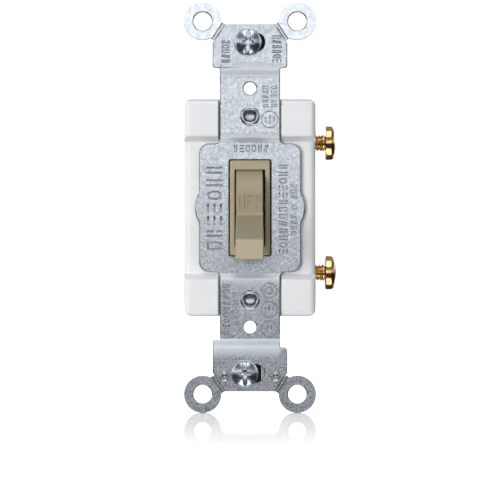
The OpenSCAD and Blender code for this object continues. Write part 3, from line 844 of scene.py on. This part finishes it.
def zinc_steel():
    """Zinc-plated sheet: fine bright grain and soft blotches, with painted shade on its rounded edges, score
    lines and marks, and painted light on its bends and upper ears.
    """
    base = (0.66, 0.69, 0.735)
    f = Finish("zinc_steel", base, 0.4, 1.0)
    grain = f.blend(f.spread(f.noise(0.4, 3.0), 0.34, 0.66, 0, 1), shade(base, 0.7), shade(base, 1.26))
    cloud = f.blend(f.spread(f.noise(5.0, 3.0), 0.35, 0.65, 0, 0.28), grain, shade(base, 0.84))
    # painted light on the bends
    bends_lit = f.blend(f.attribute("bend"), cloud, shade(base, 1.2))
    # painted light on the upper ears
    bright = f.blend(f.attribute("upper_ear_light"), bends_lit, shade(base, 1.3))
    # painted shade: rounded edges, score lines and marks go dark, towards 0.3 of the base colour
    f.paint("Base Color", f.blend(f.spread(f.attribute("edge"), 0.3, 1.0, 0, 0.85), bright,
                                  shade(base, 0.3)))
    dull = f.nodes.new("ShaderNodeMath")
    dull.operation = "MULTIPLY_ADD"
    dull.inputs[1].default_value = 0.35
    f.links.new(f.attribute("bend"), dull.inputs[0])
    f.links.new(f.spread(f.noise(0.8, 3.0), 0.3, 0.7, 0.22, 0.34), dull.inputs[2])
    f.paint("Roughness", dull.outputs[0])
    f.paint("Metallic", f.spread(f.attribute("bend"), 0.0, 1.0, 1.0, 0.45))
    f.bump(f.noise(0.5, 3.0), 0.02, 0.6)
    return f.material


def plain_plastic(name, colour, roughness, grain, **sockets):
    """Moulded plastic: a very fine surface grain, a slightly uneven gloss, paler worn edges, and painted
    light on the lever's end face.
    """
    f = Finish(name, colour, roughness, **sockets)
    tone = f.blend(f.spread(f.noise(9.0, 2.0), 0.3, 0.7, 0, 1), shade(colour, 0.97), shade(colour, 1.02))
    worn = f.blend(f.spread(f.attribute("edge"), 0.4, 1.0, 0, 0.35), tone, shade(colour, 1.06))
    # painted light: a marked end face is drawn half again as pale
    f.paint("Base Color", f.blend(f.attribute("tip_light"), worn, shade(colour, 1.5)))
    f.paint("Roughness", f.spread(f.noise(2.5, 3.0), 0.3, 0.7, roughness - 0.05, roughness + 0.07))
    f.bump(f.noise(0.35, 2.0), grain, 0.6)
    return f.material


def polished_metal(name, colour, low, high, tarnish, dark):
    """Plated or rolled metal with fine drawn lines, patches of tarnish, and painted shade in the hollows and
    contact lines that a piece marks.
    """
    f = Finish(name, colour, (low + high) / 2, 1.0)
    patches = f.spread(f.noise(1.6, 3.0), 0.42, 0.68, 0, tarnish)
    worn = f.blend(patches, colour, dark)
    # painted shade: the marked hollows and contact lines go almost black
    f.paint("Base Color", f.blend(f.attribute("recess_shade"), worn, shade(dark, 0.2)))
    f.paint("Roughness", f.spread(f.noise(0.7, 3.0), 0.3, 0.7, low, high))
    f.bump(f.noise(0.25, 2.0), 0.006, 0.5)
    return f.material


def pressed_fibre():
    """Black insulating board with short fibres pressed flat."""
    f = Finish("fibre", (0.02, 0.02, 0.022), 0.75)
    strands = f.noise(0.5, 4.0, (4, 1, 1))
    f.paint("Base Color", f.blend(f.spread(strands, 0.35, 0.65, 0, 1), (0.012, 0.012, 0.014),
                                  (0.04, 0.038, 0.036)))
    f.paint("Roughness", f.spread(strands, 0.3, 0.7, 0.6, 0.85))
    f.bump(strands, 0.02, 0.6)
    return f.material


# ---------- studio ----------

def make_camera():
    """A level, frontal camera far enough away to see the switch almost without perspective."""
    distance, view_width = 600.0, 126.1
    camera = bpy.data.cameras.new("camera")
    camera.sensor_width = 36.0
    camera.lens = camera.sensor_width * distance / view_width
    camera.shift_y = -0.0844
    camera.clip_end = 50
    obj = bpy.data.objects.new("camera", camera)
    obj.location = (0, -distance * MM, 0)
    obj.rotation_euler = (math.pi / 2, 0, 0)
    bpy.context.scene.collection.objects.link(obj)
    bpy.context.scene.camera = obj


def make_light(name, place, size, power, target=(0, 0, 0), mirrored=False):
    """A rectangular light turned to a target; sizes in millimetres, power in watts.

    A mirrored one is a card that only shows in shiny surfaces, and the others don't show in them.
    """
    light = bpy.data.lights.new(name, "AREA")
    light.shape = "RECTANGLE"
    light.size, light.size_y = size[0] * MM, size[1] * MM
    light.energy = power
    obj = bpy.data.objects.new(name, light)
    obj.location = Vector(place) * MM
    obj.rotation_euler = (Vector(target) - Vector(place)).to_track_quat("-Z", "Y").to_euler()
    obj.visible_camera = False
    obj.visible_glossy, obj.visible_diffuse = mirrored, not mirrored
    bpy.context.scene.collection.objects.link(obj)


def make_floor():
    """A glossy table under the lower ears, and a haze that hides it towards the camera."""
    half, front, back, level = 450.0, -185.0, 700.0, STRAP_LOW.z - 0.02

    def sheet(name, near, far, height):
        return mesh_object(name, [(-half, near, height), (half, near, height),
                                  (half, far, height), (-half, far, height)], [(0, 1, 2, 3)])

    floor = sheet("floor", front, back, level)
    f = Finish("floor_white", (0.03, 0.03, 0.03), 0.06, Emission_Color=(1, 1, 1, 1))
    axes = f.nodes.new("ShaderNodeSeparateXYZ")
    f.links.new(f.place, axes.inputs[0])
    f.paint("Emission Strength", f.spread(axes.outputs["Y"], -70 * MM, -10 * MM, 0.0, 0.12))
    f.paint("Specular IOR Level", f.spread(axes.outputs["Y"], -90 * MM, -30 * MM, 0.0, 0.5))
    f.paint("Roughness", f.spread(f.noise(60.0, 2.0), 0.3, 0.7, 0.05, 0.08))
    floor.data.materials.append(f.material)
    floor.visible_glossy = floor.visible_shadow = False

    haze = sheet("haze", front, -3.0, level + 0.1)
    h = Finish("haze_white", (0, 0, 0), 1.0, Emission_Color=(1, 1, 1, 1), Emission_Strength=1.05,
               Specular_IOR_Level=0.0)
    axes = h.nodes.new("ShaderNodeSeparateXYZ")
    h.links.new(h.place, axes.inputs[0])
    h.paint("Alpha", h.spread(axes.outputs["Y"], -88 * MM, -3 * MM, 1.0, 0.25))
    haze.data.materials.append(h.material)
    haze.visible_glossy = haze.visible_diffuse = haze.visible_shadow = False


def make_world():
    """White surroundings; what the camera doesn't see is a studio with a bright band in front."""
    world = bpy.data.worlds.new("studio")
    bpy.context.scene.world = world
    world.use_nodes = True
    nodes, links = world.node_tree.nodes, world.node_tree.links
    axes = nodes.new("ShaderNodeSeparateXYZ")
    links.new(nodes.new("ShaderNodeTexCoord").outputs["Generated"], axes.inputs[0])

    def ramp(axis, low, high, start, end):
        node = nodes.new("ShaderNodeMapRange")
        node.interpolation_type = "SMOOTHSTEP"
        for socket, value in zip(("From Min", "From Max", "To Min", "To Max"),
                                 (low, high, start, end)):
            node.inputs[socket].default_value = value
        links.new(axes.outputs[axis], node.inputs["Value"])
        return node.outputs["Result"]

    def join(operation, first, second):
        node = nodes.new("ShaderNodeMath")
        node.operation = operation
        links.new(first, node.inputs[0])
        links.new(second, node.inputs[1])
        return node.outputs[0]

    studio = nodes["Background"]
    studio.inputs["Color"].default_value = (0.93, 0.96, 1.0, 1)
    band = join("MULTIPLY", ramp("Z", -0.04, 0.06, 0.03, 1.0), ramp("Z", 0.16, 0.45, 1.0, 0.18))
    level = join("MULTIPLY", ramp("Y", -0.1, 0.4, 1.15, 1.9), ramp("X", 0.4, 0.8, 1.0, 0.5))
    links.new(join("MULTIPLY", band, level), studio.inputs["Strength"])
    white = nodes.new("ShaderNodeBackground")
    white.inputs["Color"].default_value = (1, 1, 1, 1)
    white.inputs["Strength"].default_value = 1.05
    mix = nodes.new("ShaderNodeMixShader")
    links.new(nodes.new("ShaderNodeLightPath").outputs["Is Camera Ray"], mix.inputs[0])
    links.new(studio.outputs[0], mix.inputs[1])
    links.new(white.outputs[0], mix.inputs[2])
    links.new(mix.outputs[0], nodes["World Output"].inputs["Surface"])


def make_studio():
    """Camera, surroundings, table and lights."""
    make_camera()
    make_world()
    make_floor()
    make_light("key", (-470, -740, 0), (400, 480), 4.9)
    make_light("lamp", (-150, -430, 720), (150, 150), 0.8)
    make_light("fill", (470, -740, 0), (400, 480), 0.7)
    make_light("upper_card", (0, -350, 600), (600, 700), 2.4, (0, -350, 0), True)
    make_light("lower_card", (0, -350, -600), (600, 700), 2.8, (0, -350, 0), True)
    make_light("front_card", (-160, -800, 50), (800, 130), 0.28, mirrored=True)
    make_light("table", (0, 62, STRAP_LOW.z + 0.2), (320, 130), 0.11, (0, 62, 100))
    bpy.context.scene.view_settings.view_transform = "Standard"


# ---------- the switch ----------

def make_switch():
    """Every piece of the switch, with its material."""
    zinc = zinc_steel()
    white = plain_plastic("white_plastic", (0.88, 0.88, 0.89), 0.32, 0.006)
    collar = plain_plastic("ivory_collar", (0.445, 0.385, 0.245), 0.36, 0.008)
    lever = plain_plastic("ivory_lever", (0.345, 0.295, 0.19), 0.34, 0.008)
    brass = polished_metal("brass", (0.82, 0.62, 0.3), 0.25, 0.4, 0.5, (0.5, 0.34, 0.16))
    screw_brass = polished_metal("screw_brass", (0.82, 0.59, 0.29), 0.12, 0.22, 0.8, (0.46, 0.24, 0.08))
    screw_steel = polished_metal("screw_steel", (0.64, 0.68, 0.75), 0.18, 0.3, 0.4, (0.4, 0.44, 0.5))
    rivet = polished_metal("rivet_steel", (0.62, 0.64, 0.67), 0.22, 0.34, 0.4, (0.42, 0.45, 0.49))
    bronze = polished_metal("bronze", (0.66, 0.4, 0.24), 0.25, 0.38, 0.5, (0.4, 0.22, 0.12))
    silver = polished_metal("silver", (0.85, 0.84, 0.8), 0.22, 0.36, 0.4, (0.5, 0.48, 0.44))
    spring = polished_metal("spring_steel", (0.5, 0.51, 0.53), 0.22, 0.34, 0.4, (0.3, 0.31, 0.33))
    fibre = pressed_fibre()

    make_strap(zinc)
    make_rounded("front_housing", BODY_EDGE, ROOT, white, body_share,
                 pierced=True)
    make_rounded("rear_housing", BODY_EDGE, ROOT, white, body_share,
                 pierced=True)
    make_rounded("lever_collar", COLLAR_EDGE, ROOT, collar, segments=4)
    make_lever(lever)
    make_terminal_screws(screw_brass)
    make_mounting_screws(screw_steel)
    make_rivets(rivet)
    make_clip_rivets(rivet)
    make_springs(spring)
    for node in ("line_terminal", "load_terminal"):
        make_rounded(node, SMALL_EDGE, ROOT, brass)
    make_rounded("grounding_clip", SMALL_EDGE, ROOT, zinc)
    make_rounded("fixed_contact", SMALL_EDGE, ROOT, silver)
    make_rounded("moving_contact", SMALL_EDGE, "arm", silver)
    make_rounded("contact_arm", SMALL_EDGE, "arm", bronze)
    make_rounded("screw_retainer_top", SMALL_EDGE, "top_retainer", fibre)
    make_rounded("screw_retainer_bottom", SMALL_EDGE, "bottom_retainer", fibre)


make_studio()
make_switch()
